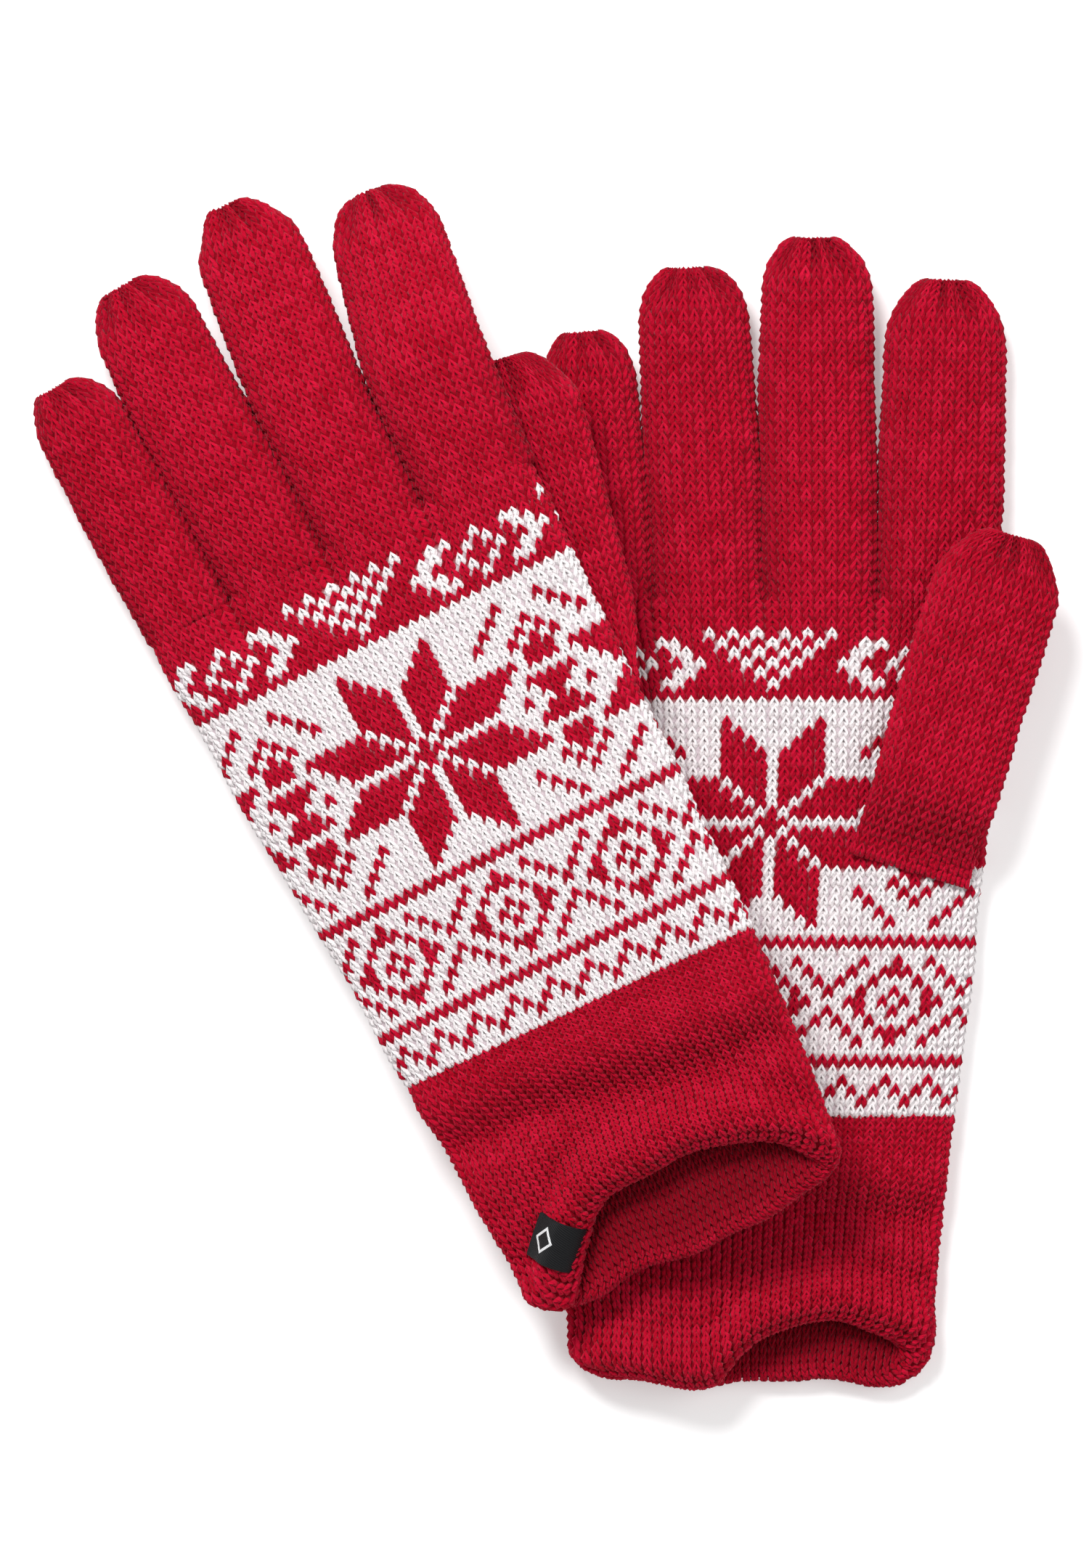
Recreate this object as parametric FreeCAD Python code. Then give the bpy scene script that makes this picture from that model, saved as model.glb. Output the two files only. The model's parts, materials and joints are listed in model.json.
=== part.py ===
import FreeCAD, Part
import math
import os

from FreeCAD import Matrix, Placement, Rotation, Vector

# A pair of knitted five-finger gloves, laid one across the other. The right glove lies flat with its
# palm up. The left glove lies across it with its back up: its little-finger side is on the ground
# and its thumb side is raised, because it leans on its own thumb and on the right glove.
# Units are millimetres. +X runs to the right, +Y towards the fingertips and +Z up.
#
# Each glove is built in a frame of its own: x across the hand towards the thumb side, y along it
# towards the fingertips, z up, with the origin in the middle of the hand's thickness. A right glove
# with its palm up and a left glove with its back up have the same outline in that frame, so both
# come from the same functions, and only the thumb changes sides.

# ---- knitted fabric
WALL = 2.2                  # thickness of the knit
HAND_THICK = 13.0           # over both layers of the laid hand, with the hollow between them
CUFF_THICK = 12.0           # the same over the cuff at its hem
FINGER_THICK = 12.5
THUMB_THICK = 10.0
PRESSED = 0.1               # how far the hand's two sides are pressed flat into its round edges

# ---- places along the glove, from the middle of the hand
KNUCKLE_Y = 46.0            # the hand divides into its fingers
THUMB_Y = -12.0             # widest part of the hand, at the root of the thumb
WRIST_Y = -66.0             # the patterned hand ends and the plain cuff begins
HEM_Y = -124.0              # edge of the cuff's lower layer
HEM_RISE = 9.0              # how much shorter the cuff's upper layer is, which opens the mouth

# ---- widths across the laid glove
THUMB_LEVEL_WIDTH = 92.0
WRIST_WIDTH = 86.0
HEM_WIDTH = 78.0

# ---- fingers: width, length past the knuckles and distance from the knuckles to the bend
FINGER_GAP = 0.5            # between neighbours at the knuckles
FINGER_WIDTH = {"little": 20.2, "ring": 23.8, "middle": 23.8, "index": 25.8}
FINGER_LENGTH = {"little": 58.5, "ring": 72.3, "middle": 79.0, "index": 70.0}
FINGER_BEND = {"little": 26.0, "ring": 30.0, "middle": 32.0, "index": 30.0}

# ---- thumb
THUMB_WIDTH = 28.8
THUMB_LENGTH = 75.5
THUMB_PIVOT = 13.0          # from the thumb's base edge to the hole that it is entered through
THUMB_HOLE_RADIUS = 8.0

# ---- clearances
BEND_GAP = 0.6              # between the two halves of a finger at its bend
PIVOT_RISE = 0.2            # of a bend's axis over the finger's upper side
THUMB_GAP = 0.5             # between the thumb and the palm it lies on

# ---- woven label, folded over the hem of the left cuff
LABEL_WIDTH = 12.0
LABEL_LENGTH = 15.0
LABEL_THICK = 0.7
LABEL_CLEARANCE = 0.2
LABEL_INSET = 1.0           # from the end of the cuff's flat top

ACROSS = Vector(1, 0, 0)
ALONG = Vector(0, 1, 0)
UP = Vector(0, 0, 1)
OVERRUN = 6.0               # how far a cutting shape runs past the face that it cuts
BIG = 400.0                 # side of the block that stands for a half space


class Glove:
    """How one of the two gloves is shaped by hand and laid down."""

    def __init__(self, side, palm, middle_x, lean, droop, thumb_root, thumb_angle, placement):
        self.side = side
        self.palm = palm                    # +1 where the palm faces up, -1 where it faces down
        self.middle_x = middle_x            # middle of the hand's width at each level
        self.lean = lean                    # of each finger towards the little-finger side, degrees
        self.droop = droop                  # of each finger past its bend, degrees
        self.thumb_root = thumb_root        # middle of the thumb's base edge, x and y
        self.thumb_angle = thumb_angle      # of the thumb away from the fingers, degrees
        self.placement = placement


# ---- how the two gloves lie
LEFT_TURN = 25.0            # of the left glove about the vertical
LEFT_ROLL = 16.0            # its thumb side is raised
LEFT_PITCH = 1.8            # its cuff is raised
LEFT_X = -17.3
LEFT_Y = 12.9
LEFT_THUMB_ROOT = (26.1, -5.3)
RIGHT_X = 59.7
RIGHT_Y = -6.0
REST_GAP = 1.85             # between the left thumb's root and the right glove under it
FINGER_REST = 0.5           # how much closer the left glove lies over the right fingers
CUFF_REST = 1.0             # the same over the right cuff


def resting_height():
    """Height of the left glove's middle: it leans on its thumb, and its thumb on the right glove."""
    roll = math.radians(LEFT_ROLL)
    right_top = max(HAND_THICK, FINGER_THICK + FINGER_REST, CUFF_THICK + CUFF_REST)
    under_middle = HAND_THICK / 2 + THUMB_GAP + THUMB_THICK
    raised = LEFT_THUMB_ROOT[0] * math.sin(roll)
    return right_top + REST_GAP + under_middle * math.cos(roll) - raised


RIGHT = Glove(
    side="right",
    palm=1,
    middle_x={"knuckle": -9.4, "thumb": -9.8, "wrist": -13.3, "hem": -15.0},
    lean={"little": 3.9, "ring": 2.6, "middle": 0.6, "index": -2.0},
    droop={"little": 0.0, "ring": 0.0, "middle": 0.0, "index": 0.0},
    thumb_root=(19.6, -11.8),
    thumb_angle=17.0,
    placement=Placement(Vector(RIGHT_X, RIGHT_Y, HAND_THICK / 2), Rotation()),
)

LEFT = Glove(
    side="left",
    palm=-1,
    middle_x={"knuckle": -9.0, "thumb": -6.5, "wrist": -3.6, "hem": -3.0},
    lean={"little": 3.8, "ring": 3.8, "middle": 1.4, "index": -1.2},
    droop={"little": -2.0, "ring": 6.0, "middle": 14.0, "index": 26.0},
    thumb_root=LEFT_THUMB_ROOT,
    thumb_angle=10.4,
    placement=Placement(
        Vector(LEFT_X, LEFT_Y, resting_height()),
        Rotation(UP, LEFT_TURN) * Rotation(ACROSS, -LEFT_PITCH) * Rotation(ALONG, -LEFT_ROLL),
    ),
)


def knuckle_width():
    """Width of the hand at the knuckles: its four fingers side by side."""
    return sum(FINGER_WIDTH.values()) + FINGER_GAP * (len(FINGER_WIDTH) - 1)


def flush(thick):
    """Height of the middle of a flat tube that lies on the same ground as the hand."""
    return (thick - HAND_THICK) / 2


def moved(shape, placement):
    """A copy of a shape, carried along by a placement."""
    copy = shape.copy()
    copy.Placement = placement.multiply(shape.Placement)
    return copy


def half_space(point, normal):
    """A block that fills the side of a plane that the normal points to."""
    block = Part.makeBox(BIG, BIG, BIG, Vector(-BIG / 2, -BIG / 2, 0))
    block.Placement = Placement(point, Rotation(UP, normal))
    return block


def flat_section(middle_x, y, width, thick):
    """Outline of a flattened tube: two flat sides and two round edges."""
    z = flush(thick)
    radius = thick / 2
    flat = width / 2 - radius
    top_left = Vector(middle_x - flat, y, z + radius)
    top_right = Vector(middle_x + flat, y, z + radius)
    low_right = Vector(middle_x + flat, y, z - radius)
    low_left = Vector(middle_x - flat, y, z - radius)
    right_edge = Vector(middle_x + flat + radius, y, z)
    left_edge = Vector(middle_x - flat - radius, y, z)
    return Part.Wire([
        Part.LineSegment(top_left, top_right).toShape(),
        Part.Arc(top_right, right_edge, low_right).toShape(),
        Part.LineSegment(low_right, low_left).toShape(),
        Part.Arc(low_left, left_edge, top_left).toShape(),
    ])


def flat_tube(stations, inset=0.0, run_start=0.0, run_end=0.0):
    """A solid through flat sections from the cuff end to the finger end.

    The inset shrinks every section, or grows it where it is negative. The runs move the ends outwards.
    """
    levels = [list(station) for station in stations]
    levels[0][1] -= run_start
    levels[-1][1] += run_end
    wires = []
    for middle_x, y, width, thick in levels:
        wire = flat_section(middle_x, y, width - 2 * inset, thick - 2 * inset)
        # A thinner section would lie on the ground by itself, so it is lifted to the fabric's middle.
        wire.translate(UP * (flush(thick) - flush(thick - 2 * inset)))
        wires.append(wire)
    return Part.makeLoft(wires, True, True)


def capsule(width, thick, length, back):
    """A flattened tube along y with a round tip at the far end."""
    radius = width / 2
    tip_start = length - radius
    bow = radius * math.sqrt(0.5)
    base = Vector(0, -back, 0)
    rim = Vector(radius, -back, 0)
    shoulder = Vector(radius, tip_start, 0)
    tip = Vector(0, length, 0)
    outline = Part.Wire([
        Part.LineSegment(base, rim).toShape(),
        Part.LineSegment(rim, shoulder).toShape(),
        Part.Arc(shoulder, Vector(bow, tip_start + bow, 0), tip).toShape(),
        Part.LineSegment(tip, base).toShape(),
    ])
    round_solid = Part.Face(outline).revolve(Vector(0, 0, 0), ALONG, 360)
    flatten = Matrix()
    flatten.scale(1, 1, thick / width)
    return round_solid.transformGeometry(flatten)


def hand_stations(glove):
    return [
        (glove.middle_x["wrist"], WRIST_Y, WRIST_WIDTH, HAND_THICK),
        (glove.middle_x["thumb"], THUMB_Y, THUMB_LEVEL_WIDTH, HAND_THICK),
        (glove.middle_x["knuckle"], KNUCKLE_Y, knuckle_width(), HAND_THICK),
    ]


def cuff_stations(glove):
    return [
        (glove.middle_x["hem"], HEM_Y, HEM_WIDTH, CUFF_THICK),
        (glove.middle_x["wrist"], WRIST_Y, WRIST_WIDTH, HAND_THICK),
    ]


def finger_x(glove, name):
    """Middle of a finger's base: the fingers stand side by side from the little finger on."""
    x = glove.middle_x["knuckle"] - knuckle_width() / 2
    for other, width in FINGER_WIDTH.items():
        if other == name:
            return x + width / 2
        x += width + FINGER_GAP
    return x


def finger_frame(glove, name):
    """Where a finger stands on the hand: y along it, from the knuckles."""
    place = Vector(finger_x(glove, name), KNUCKLE_Y, flush(FINGER_THICK))
    return Placement(place, Rotation(UP, glove.lean[name]))


def finger_hollow(glove, name):
    """The space in a finger, which runs back through the end of the hand."""
    hollow = capsule(
        FINGER_WIDTH[name] - 2 * WALL, FINGER_THICK - 2 * WALL, FINGER_LENGTH[name] - WALL, OVERRUN)
    hollow.Placement = finger_frame(glove, name)
    return hollow


def bend_normal(glove, name):
    """Direction of the cut between a finger's halves, in the finger's frame."""
    half = math.radians(glove.droop[name] / 2)
    return Vector(0, math.cos(half), -math.sin(half))


def bend_axis_point(glove, name):
    """A point on the axis of a finger's bend, on its upper side, in the finger's frame."""
    height = FINGER_THICK / 2 + PIVOT_RISE
    half = math.radians(glove.droop[name] / 2)
    return Vector(0, FINGER_BEND[name] + height * math.tan(half), height)


def finger_halves(glove, name):
    """The half of a finger next to the hand, and the half past its bend, in the glove's frame."""
    outer = capsule(FINGER_WIDTH[name], FINGER_THICK, FINGER_LENGTH[name], OVERRUN)
    inner = capsule(
        FINGER_WIDTH[name] - 2 * WALL, FINGER_THICK - 2 * WALL, FINGER_LENGTH[name] - WALL, 2 * OVERRUN)
    tube = outer.cut(inner)
    bend = Vector(0, FINGER_BEND[name], 0)
    normal = bend_normal(glove, name)
    lower = tube.cut(half_space(bend - normal * (BEND_GAP / 2), normal))
    drooped = tube.copy()
    drooped.rotate(bend, ACROSS, -glove.droop[name])
    upper = drooped.common(half_space(bend + normal * (BEND_GAP / 2), normal))
    frame = finger_frame(glove, name)
    lower = moved(lower, frame).common(half_space(Vector(0, KNUCKLE_Y, 0), ALONG))
    return lower, moved(upper, frame)


def thumb_frame(glove):
    """Where the thumb lies on the palm: y along it, from its base edge."""
    palm_level = HAND_THICK / 2
    if glove.palm > 0:
        # A palm-up thumb also lies over the index finger, which can be thicker than the hand.
        palm_level = max(palm_level, FINGER_THICK - HAND_THICK / 2)
    height = glove.palm * (palm_level + THUMB_GAP + THUMB_THICK / 2)
    x, y = glove.thumb_root
    return Placement(Vector(x, y, height), Rotation(UP, -glove.thumb_angle))


def thumb_hole(glove):
    """The round hole that a thumb goes through, out of the palm and into the thumb's tube."""
    frame = thumb_frame(glove)
    middle = frame.multVec(Vector(0, THUMB_PIVOT, 0))
    return Part.makeCylinder(THUMB_HOLE_RADIUS, abs(middle.z), middle, UP * -glove.palm)


def thumb(glove):
    outer = capsule(THUMB_WIDTH, THUMB_THICK, THUMB_LENGTH, 0)
    inner = capsule(THUMB_WIDTH - 2 * WALL, THUMB_THICK - 2 * WALL, THUMB_LENGTH - WALL, -WALL)
    return moved(outer.cut(inner), thumb_frame(glove)).cut(thumb_hole(glove))


def hand(glove):
    """The patterned tube of the hand, open to the cuff, the four fingers and the thumb."""
    outer = flat_tube(hand_stations(glove), inset=-PRESSED)
    for side in (UP, -UP):
        outer = outer.cut(half_space(side * (HAND_THICK / 2), side))
    inner = flat_tube(hand_stations(glove), inset=WALL, run_start=OVERRUN, run_end=-WALL)
    shell = outer.cut(inner)
    for name in FINGER_WIDTH:
        shell = shell.cut(finger_hollow(glove, name))
    return shell.cut(thumb_hole(glove))


def cuff(glove):
    """The ribbed cuff, with a mouth cut on the slant so that its upper layer is the shorter one."""
    outer = flat_tube(cuff_stations(glove))
    inner = flat_tube(cuff_stations(glove), inset=WALL, run_start=OVERRUN, run_end=OVERRUN)
    low_edge = Vector(0, HEM_Y, flush(CUFF_THICK) - CUFF_THICK / 2)
    slant = Vector(0, -CUFF_THICK, HEM_RISE)
    slant.normalize()
    return outer.cut(inner).cut(half_space(low_edge, slant))


def label(glove):
    """A woven strip folded over the edge of the cuff's upper layer."""
    fold_y = HEM_Y + HEM_RISE * (1 - WALL / CUFF_THICK) - LABEL_CLEARANCE
    far_share = (fold_y + LABEL_LENGTH - HEM_Y) / (WRIST_Y - HEM_Y)
    hem_top = CUFF_THICK - HAND_THICK / 2
    far_top = hem_top + (HAND_THICK - CUFF_THICK) * far_share
    layer_top = max(hem_top, far_top) + LABEL_CLEARANCE
    layer_low = min(hem_top, far_top) - WALL - LABEL_CLEARANCE
    left_x = glove.middle_x["hem"] - HEM_WIDTH / 2 + CUFF_THICK / 2 + LABEL_INSET
    corner = Vector(left_x, fold_y - LABEL_THICK, layer_low - LABEL_THICK)
    strip = Part.makeBox(
        LABEL_WIDTH, LABEL_LENGTH + LABEL_THICK, layer_top - layer_low + 2 * LABEL_THICK, corner)
    layer = Part.makeBox(
        LABEL_WIDTH, LABEL_LENGTH, layer_top - layer_low, Vector(left_x, fold_y, layer_low))
    return strip.cut(layer)


def glove_solids(glove):
    """Every solid of one glove, by node name, laid down in the frame of the pair."""
    solids = {"hand": hand(glove), "cuff": cuff(glove), "thumb": thumb(glove)}
    for name in FINGER_WIDTH:
        lower, upper = finger_halves(glove, name)
        solids[name + "_finger_lower"] = lower
        solids[name + "_finger_upper"] = upper
    if glove.side == "left":
        solids["label"] = label(glove)
    laid = {}
    for name, solid in solids.items():
        laid[glove.side + "_" + name] = moved(solid, glove.placement)
    return laid


def pair_solids():
    """Both gloves, moved so that the origin is on the ground under the middle of the pair."""
    solids = {}
    for glove in (RIGHT, LEFT):
        solids.update(glove_solids(glove))
    box = Part.makeCompound(list(solids.values())).optimalBoundingBox(False, False)
    to_origin = Vector(-box.Center.x, -box.Center.y, -box.ZMin)
    for solid in solids.values():
        solid.translate(to_origin)
    return solids, to_origin


nodes, shift = pair_solids()
os.makedirs("parts", exist_ok=True)
for node_name, node_shape in nodes.items():
    node_shape.exportStep("parts/" + node_name + ".step")
    print(node_name, node_shape.isValid(), round(node_shape.Volume, 1))
print("moved by", shift)
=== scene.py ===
# %% [markdown]
# # A pair of knitted gloves
#
# The object is two five-fingered knitted gloves, one laid across the other. A glove like this is knitted
# round and round in one piece: a ribbed cuff with a rolled hem, a hand in two colours, and plain tubes for
# the fingers and the thumb. Nothing in it is solid, so what the eye reads is the stitches themselves.
#
# The plan is the knitter's own. Each tube is a sheet with one face for every stitch, rolled up and shaped.
# One stitch is then modelled once and carried to every face. The frame comes first, because it says where
# every piece lies and what moves.

# %% Load the frame
import json
import math

import bpy
import numpy as np
from mathutils import Matrix, Vector

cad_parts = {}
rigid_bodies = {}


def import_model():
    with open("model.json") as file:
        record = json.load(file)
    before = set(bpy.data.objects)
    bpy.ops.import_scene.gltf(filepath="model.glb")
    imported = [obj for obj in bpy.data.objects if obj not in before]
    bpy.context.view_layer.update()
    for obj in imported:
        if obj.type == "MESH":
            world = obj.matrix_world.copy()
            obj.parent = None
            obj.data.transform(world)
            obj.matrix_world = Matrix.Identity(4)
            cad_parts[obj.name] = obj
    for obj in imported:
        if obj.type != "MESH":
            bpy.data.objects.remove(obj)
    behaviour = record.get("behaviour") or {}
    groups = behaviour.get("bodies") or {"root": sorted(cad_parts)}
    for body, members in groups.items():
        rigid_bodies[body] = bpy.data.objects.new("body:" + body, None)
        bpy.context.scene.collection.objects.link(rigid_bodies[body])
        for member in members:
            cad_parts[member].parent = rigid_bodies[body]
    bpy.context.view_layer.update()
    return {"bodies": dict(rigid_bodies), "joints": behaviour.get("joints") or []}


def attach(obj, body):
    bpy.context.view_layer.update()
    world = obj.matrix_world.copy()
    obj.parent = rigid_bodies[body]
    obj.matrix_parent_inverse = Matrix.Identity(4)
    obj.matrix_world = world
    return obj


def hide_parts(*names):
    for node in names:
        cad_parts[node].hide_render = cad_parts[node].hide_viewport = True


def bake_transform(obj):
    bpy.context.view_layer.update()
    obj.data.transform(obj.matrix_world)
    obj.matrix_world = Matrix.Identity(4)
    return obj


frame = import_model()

joints = {joint["name"]: joint for joint in frame["joints"]}

# %% [markdown]
# The sizes below are a knitter's sizes, in millimetres. They are the same driving dimensions as the
# frame's, in the same glove frame: x across the hand towards the thumb, y along it towards the fingertips,
# z away from the table. A left glove with its back up and a right glove with its palm up then have one
# outline, so one set of functions shapes both.

# %% Sizes of a glove
MM = 0.001
HAND_THICK = 13.0
CUFF_THICK = 12.0
FINGER_THICK = 12.5
THUMB_THICK = 10.0
KNUCKLE_Y = 46.0
THUMB_Y = -12.0
WRIST_Y = -66.0
HEM_Y = -124.0
HAND_WIDTH = {WRIST_Y: 86.0, THUMB_Y: 92.0, HEM_Y: 78.0}
FINGER_GAP = 0.5
FINGER_WIDTH = {"little": 20.2, "ring": 23.8, "middle": 23.8, "index": 25.8}
FINGER_LENGTH = {"little": 58.5, "ring": 72.3, "middle": 79.0, "index": 70.0}
FINGER_BEND = {"little": 26.0, "ring": 30.0, "middle": 32.0, "index": 30.0}
THUMB_WIDTH = 28.8
THUMB_LENGTH = 75.5
THUMB_PIVOT = 13.0
THUMB_GAP = 0.5
knuckle_width = sum(FINGER_WIDTH.values()) + FINGER_GAP * (len(FINGER_WIDTH) - 1)
HAND_WIDTH[KNUCKLE_Y] = knuckle_width
print("width at the knuckles", knuckle_width, "mm")

# %% [markdown]
# The gauge is how many stitches the fabric has. Going round the tube the columns are called wales, and
# going along it the rows are called courses. The hand has as many wales on its front as its four fingers
# have together, which is how the columns can run on from the hand into the fingers without a break.

# %% Gauge
COURSE = 2.154
FRONT_WALES = {"little": 9, "ring": 9, "middle": 9, "index": 11}
LEFT_SIDE_WALES = {"little": 0, "ring": 2, "middle": 2, "index": 2}
RIGHT_SIDE_WALES = {"little": 2, "ring": 2, "middle": 2, "index": 0}
THUMB_WALES = 26
hand_front = sum(FRONT_WALES.values())
hand_wales = 2 * hand_front
hand_courses = round((KNUCKLE_Y - WRIST_Y) / COURSE)
print("hand", hand_wales, "wales x", hand_courses, "courses")


# %% [markdown]
# Each glove is laid by hand in its own way, so what differs between the two is kept in one place. The
# frame gives the place: the thumb's hinge is found there, and the glove is hung from it.

# %% How each glove lies
class Lie:
    """The shape and place of one laid glove."""

    def __init__(self, side, palm, middle_x, lean, droop, thumb_root, thumb_angle, turn, pitch, roll, arch):
        self.side = side
        self.palm = palm
        self.middle_x = middle_x
        self.lean = lean
        self.droop = droop
        self.thumb_root = thumb_root
        self.thumb_angle = math.radians(thumb_angle)
        self.arch = arch
        spin = Matrix.Rotation(math.radians(turn), 3, "Z")
        spin = spin @ Matrix.Rotation(math.radians(-pitch), 3, "X")
        spin = spin @ Matrix.Rotation(math.radians(-roll), 3, "Y")
        self.spin = np.array(spin)
        pivot = self.thumb_point(THUMB_PIVOT, 0.0, palm * (HAND_THICK + THUMB_THICK + 2 * THUMB_GAP) / 2)
        hinge = np.array(joints[side + "_thumb_swing"]["pos_m"])
        self.origin = hinge - self.spin @ np.array(pivot) * MM

    def thumb_point(self, along, across, height):
        sine, cosine = math.sin(self.thumb_angle), math.cos(self.thumb_angle)
        x, y = self.thumb_root
        return (x + along * sine + across * cosine, y + along * cosine - across * sine, height)

    def world(self, points):
        """Points in the glove's frame, in millimetres, to metres in the row frame."""
        return np.asarray(points, float) @ self.spin.T * MM + self.origin

    def middle(self, y):
        return through(self.middle_x, y)


def through(levels, y):
    """A smooth curve through the values given at a few levels along the glove."""
    heights = sorted(levels)
    curve = np.polyfit(heights, [levels[height] for height in heights], len(heights) - 1)
    return np.polyval(curve, y)


right = Lie(
    "right", 1, {HEM_Y: -15.0, WRIST_Y: -13.3, THUMB_Y: -9.8, KNUCKLE_Y: -9.4},
    {"little": 3.9, "ring": 2.6, "middle": 0.6, "index": -2.0},
    {"little": 0.0, "ring": 0.0, "middle": 0.0, "index": 0.0},
    (19.6, -11.8), 17.0, 0.0, 0.0, 0.0, (13.0, 19.0, 28.0))
left = Lie(
    "left", -1, {HEM_Y: -3.0, WRIST_Y: -3.6, THUMB_Y: -6.5, KNUCKLE_Y: -9.0},
    {"little": 3.8, "ring": 3.8, "middle": 1.4, "index": -1.2},
    {"little": -2.0, "ring": 6.0, "middle": 14.0, "index": 26.0},
    (26.1, -5.3), 10.4, 25.0, 1.8, 16.0, (20.0, 4.0, 38.0))
for lie in (right, left):
    print(lie.side, "glove's middle", lie.origin.round(4))

# %% [markdown]
# ## One stitch
#
# Seen from the outside, a plain knitted stitch is two plump legs that meet in a point. These gloves were
# knitted from the cuff to the fingertips, and they show the legs meeting towards the fingers. It could be
# painted on as a bump pattern, but a bump stays flat at the edge of a finger, where the real outline is
# bumpy. So the stitch is a short bent tube of yarn. It starts as a disc with five sides, which is extruded
# from the foot of one leg, over the point, to the foot of the other. It has only a few dozen faces,
# because it is repeated about 23,000 times.

# %% Model one stitch
YARN_SIDES = 5
# Middle of the yarn at each step: across in wales, along in courses, outwards in wales, and half its width.
YARN_PATH = [
    (-0.22, -0.46, -0.16, 0.20),
    (-0.27, 0.20, 0.10, 0.27),
    (0.00, 0.90, 0.03, 0.245),
    (0.27, 0.20, 0.10, 0.27),
    (0.22, -0.46, -0.16, 0.20),
]


def yarn_direction(step):
    before = Vector(YARN_PATH[max(step - 1, 0)][:3])
    after = Vector(YARN_PATH[min(step + 1, len(YARN_PATH) - 1)][:3])
    return (after - before).normalized()


def select_none():
    bpy.ops.object.select_all(action="DESELECT")


select_none()
start = Vector(YARN_PATH[0][:3])
facing = yarn_direction(0)
bpy.ops.mesh.primitive_circle_add(
    vertices=YARN_SIDES, radius=YARN_PATH[0][3], fill_type="NGON", location=start,
    rotation=facing.to_track_quat("Z", "Y").to_euler())
stitch = bpy.context.object
stitch.name = "one_stitch"
bpy.ops.object.transform_apply(location=True, rotation=True, scale=True)
bpy.ops.object.mode_set(mode="EDIT")
for step in range(1, len(YARN_PATH)):
    here = Vector(YARN_PATH[step][:3])
    size = YARN_PATH[step][3] / YARN_PATH[step - 1][3]
    bpy.ops.mesh.extrude_region_move(
        TRANSFORM_OT_translate={"value": here - Vector(YARN_PATH[step - 1][:3])})
    swing = facing.rotation_difference(yarn_direction(step))
    facing = yarn_direction(step)
    mesh_data = stitch.data
    bpy.ops.object.mode_set(mode="OBJECT")
    for vertex in mesh_data.vertices:
        if vertex.select:
            vertex.co = here + swing @ ((vertex.co - here) * size)
    bpy.ops.object.mode_set(mode="EDIT")
bpy.ops.mesh.select_all(action="SELECT")
bpy.ops.mesh.region_to_loop()
bpy.ops.mesh.edge_face_add()
bpy.ops.mesh.select_all(action="SELECT")
bpy.ops.mesh.quads_convert_to_tris(ngon_method="BEAUTY")
bpy.ops.mesh.normals_make_consistent(inside=False)
bpy.ops.object.mode_set(mode="OBJECT")
stitch_points = np.array([vertex.co for vertex in stitch.data.vertices])
stitch_faces = np.array([face.vertices[:] for face in stitch.data.polygons])
# How far along the yarn, and which way round it, each point is: the twist of the yarn follows this.
yarn_stops = np.array([step[:3] for step in YARN_PATH])
yarn_nearest = np.argmin(((stitch_points[:, None] - yarn_stops) ** 2).sum(2), axis=1)
yarn_round = (np.arange(len(stitch_points)) % YARN_SIDES) / YARN_SIDES
bpy.data.objects.remove(stitch)
print("one stitch:", len(stitch_points), "points,", len(stitch_faces), "triangles")

# %% [markdown]
# ## From a sheet to a knitted tube
#
# A knitted tube is made in two moves. First a flat grid with one face per stitch is rolled into the tube's
# shape, and its seam is welded: that is the lining seen between the stitches, which is painted in darker,
# shaded copies of the yarn's colours. Then every face gets its stitch: the stitch's own across, along and
# outwards are laid on the face's corners and normal, so stitches crowd together where the tube narrows, as
# they do in the real fabric.


# %% Helpers that knit a tube
def outward(corners):
    """Unit normals at the corners of a grid whose rows go round a tube."""
    around = np.roll(corners, -1, axis=1) - np.roll(corners, 1, axis=1)
    along = np.gradient(corners, axis=0)
    normal = np.cross(around, along)
    normal = np.where(np.isfinite(normal), normal, 0)
    size = np.linalg.norm(normal, axis=2, keepdims=True)
    return normal / np.maximum(size, 1e-9)


def wave_field(points, seed, longest, shortest, count=7):
    """A smooth random height at each point, about -1 to 1, made of a few seeded waves."""
    dice = np.random.default_rng(seed)
    total = np.zeros(points.shape[:-1])
    for _ in range(count):
        direction = dice.normal(size=3)
        direction /= np.linalg.norm(direction)
        length = dice.uniform(shortest, longest)
        total += np.sin(points @ direction * 2 * math.pi / length + dice.uniform(0, 2 * math.pi))
    return total / math.sqrt(count)


def mesh_from(name, points, faces):
    """A mesh made from arrays: one shape carried to many places is too much to add by hand."""
    mesh = bpy.data.meshes.new(name)
    mesh.vertices.add(len(points))
    mesh.vertices.foreach_set("co", points.ravel())
    mesh.loops.add(faces.size)
    mesh.loops.foreach_set("vertex_index", faces.ravel())
    mesh.polygons.add(len(faces))
    mesh.polygons.foreach_set("loop_start", np.arange(len(faces)) * faces.shape[1])
    mesh.update(calc_edges=True)
    piece = bpy.data.objects.new(name, mesh)
    bpy.context.collection.objects.link(piece)
    return piece


def paint(piece, name, values):
    """Write one number per point, for the material to read."""
    layer = piece.data.attributes.new(name, "FLOAT", "POINT")
    layer.data.foreach_set("value", np.ascontiguousarray(values, np.float32).ravel())


def roll_sheet(name, corners):
    """A grid with a face per stitch, rolled into a tube whose seam's points meet; knit welds them."""
    courses, wales = corners.shape[0] - 1, corners.shape[1]
    select_none()
    bpy.ops.mesh.primitive_grid_add(x_subdivisions=wales, y_subdivisions=courses, size=2)
    sheet = bpy.context.object
    sheet.name = name
    rolled = np.concatenate([corners, corners[:, :1]], axis=1)
    sheet.data.vertices.foreach_set("co", rolled.reshape(-1, 3).ravel())
    return sheet


RIB_NARROWING = 0.07
RIB_HEIGHT = 0.2
# How uneven the stitches are: in place, as a share of a stitch across, along and outwards, and in width.
STITCH_JITTER = (0.035, 0.045, 0.03)
STITCH_SPREAD = 0.045
WIDEST_STITCH = 2.7


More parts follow.
